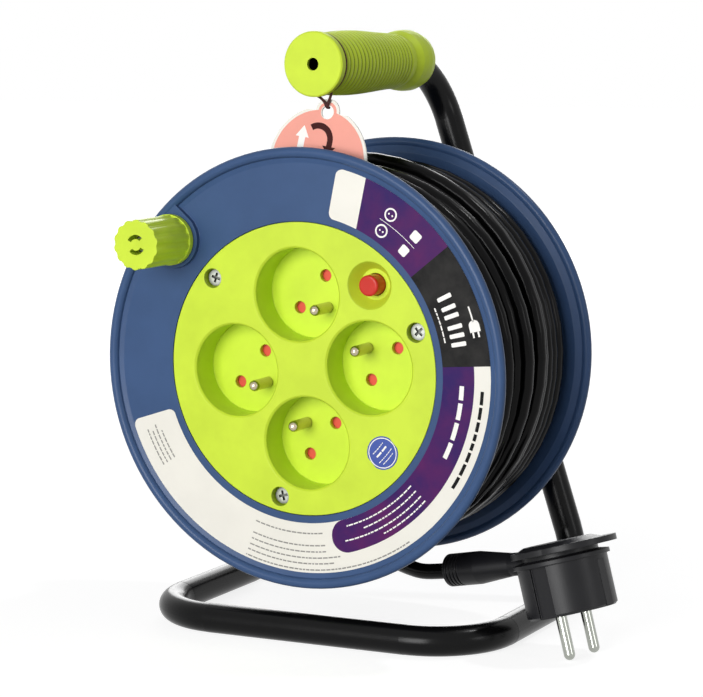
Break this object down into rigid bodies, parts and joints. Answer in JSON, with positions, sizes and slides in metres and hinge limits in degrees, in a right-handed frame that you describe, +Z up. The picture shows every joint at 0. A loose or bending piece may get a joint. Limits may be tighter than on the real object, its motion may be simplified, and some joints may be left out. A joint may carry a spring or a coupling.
{
  "type": "extension cord reel",
  "caption": "Cord reel on a bent tube stand: a flanged drum with earthed sockets, a thermal cutout and a crank knob turns on an axle; the lead wound on it ends in an angled plug.",
  "frame": {"origin": "middle of the stand's footprint on the floor, the free end and the plug left out", "axes": "+Z up; the reel's axis runs along Y and the sockets face -Y; +X is to the right seen from the sockets"},
  "size_m": [0.2264, 0.168, 0.2635],
  "materials": {
    "black_powder_coat": "satin powder coat",
    "lime_soft_grip": "soft, matt, ribbed",
    "lime_plastic": "semi-gloss moulded",
    "blue_plastic": "semi-gloss moulded",
    "black_lead": "matt black sheath",
    "black_plug": "moulded, satin",
    "zinc_steel": "zinc plated",
    "nickel_brass": "bright drawn",
    "dark_plastic": "moulded insulation",
    "red_plastic": "moulded",
    "nylon": "natural nylon",
    "printed_label": "printed film without words",
    "blue_sticker": "bare coloured film",
    "salmon_card": "coated card with plain arrows",
    "tag_cord": "elastic cord",
    "wire_insulation": "brown, blue and green-yellow cores"
  },
  "bodies": {
    "frame": {"frame_tube": "black_powder_coat", "handle_grip": "lime_soft_grip", "axle_insert": "zinc_steel", "axle_collar": "dark_plastic", "axle_washer": "zinc_steel", "axle_screw": "zinc_steel", "tag_string": "tag_cord", "cable_tail": "black_lead", "plug_body": "black_plug", "plug_pins": "zinc_steel", "plug_earth_clips": "nickel_brass"},
    "drum": {"front_flange": "blue_plastic", "rear_flange": "blue_plastic", "axle_bush": "nylon", "socket_plate": "lime_plastic", "well_top": "lime_plastic", "well_left": "lime_plastic", "well_right": "lime_plastic", "well_bottom": "lime_plastic", "plate_screws": "zinc_steel", "contact_carrier": "dark_plastic", "carrier_screws": "zinc_steel", "live_contacts": "nickel_brass", "neutral_contacts": "nickel_brass", "earth_pins": "nickel_brass", "earth_plate": "nickel_brass", "cutout_body": "dark_plastic", "cutout_terminals": "zinc_steel", "knob_stem": "zinc_steel", "flange_label": "printed_label", "plate_sticker": "blue_sticker", "cable_core": "black_lead", "cable_winding": "black_lead", "inner_lead": "black_lead", "core_wires": "wire_insulation", "cord_clamp": "nylon", "clamp_screws": "zinc_steel"},
    "knob": {"crank_knob": "lime_plastic"},
    "button": {"reset_button": "red_plastic"},
    "shutter_top": {"shutter_top": "red_plastic"},
    "shutter_left": {"shutter_left": "red_plastic"},
    "shutter_right": {"shutter_right": "red_plastic"},
    "shutter_bottom": {"shutter_bottom": "red_plastic"},
    "tag": {"hang_tag": "salmon_card"}
  },
  "joints": [
    {"name": "drum_spin", "type": "hinge", "parent": "frame", "child": "drum", "pos_m": [0, 0, 0.12], "axis": [0, -1, 0], "continuous": true},
    {"name": "knob_spin", "type": "hinge", "parent": "drum", "child": "knob", "pos_m": [-0.06189, -0.0693, 0.1738], "axis": [0, -1, 0], "continuous": true},
    {"name": "reset_press", "type": "slide", "parent": "drum", "child": "button", "axis": [0, 1, 0], "range_m": [0, 0.0025], "stiffness_N_per_m": 400, "springref_m": -0.002},
    {"name": "shutter_top_slide", "type": "slide", "parent": "drum", "child": "shutter_top", "axis": [-0.7547, 0, 0.6561], "range_m": [0, 0.006], "stiffness_N_per_m": 120, "springref_m": -0.003},
    {"name": "shutter_left_slide", "type": "slide", "parent": "drum", "child": "shutter_left", "axis": [-0.7547, 0, 0.6561], "range_m": [0, 0.006], "stiffness_N_per_m": 120, "springref_m": -0.003},
    {"name": "shutter_right_slide", "type": "slide", "parent": "drum", "child": "shutter_right", "axis": [0.7547, 0, -0.6561], "range_m": [0, 0.006], "stiffness_N_per_m": 120, "springref_m": -0.003},
    {"name": "shutter_bottom_slide", "type": "slide", "parent": "drum", "child": "shutter_bottom", "axis": [0.7547, 0, -0.6561], "range_m": [0, 0.006], "stiffness_N_per_m": 120, "springref_m": -0.003},
    {"name": "tag_swing", "type": "hinge", "parent": "frame", "child": "tag", "pos_m": [0.0067, -0.03793, 0.23093], "axis": [0, -0.9877, 0.1564], "range_deg": [-11, 29]}
  ]
}
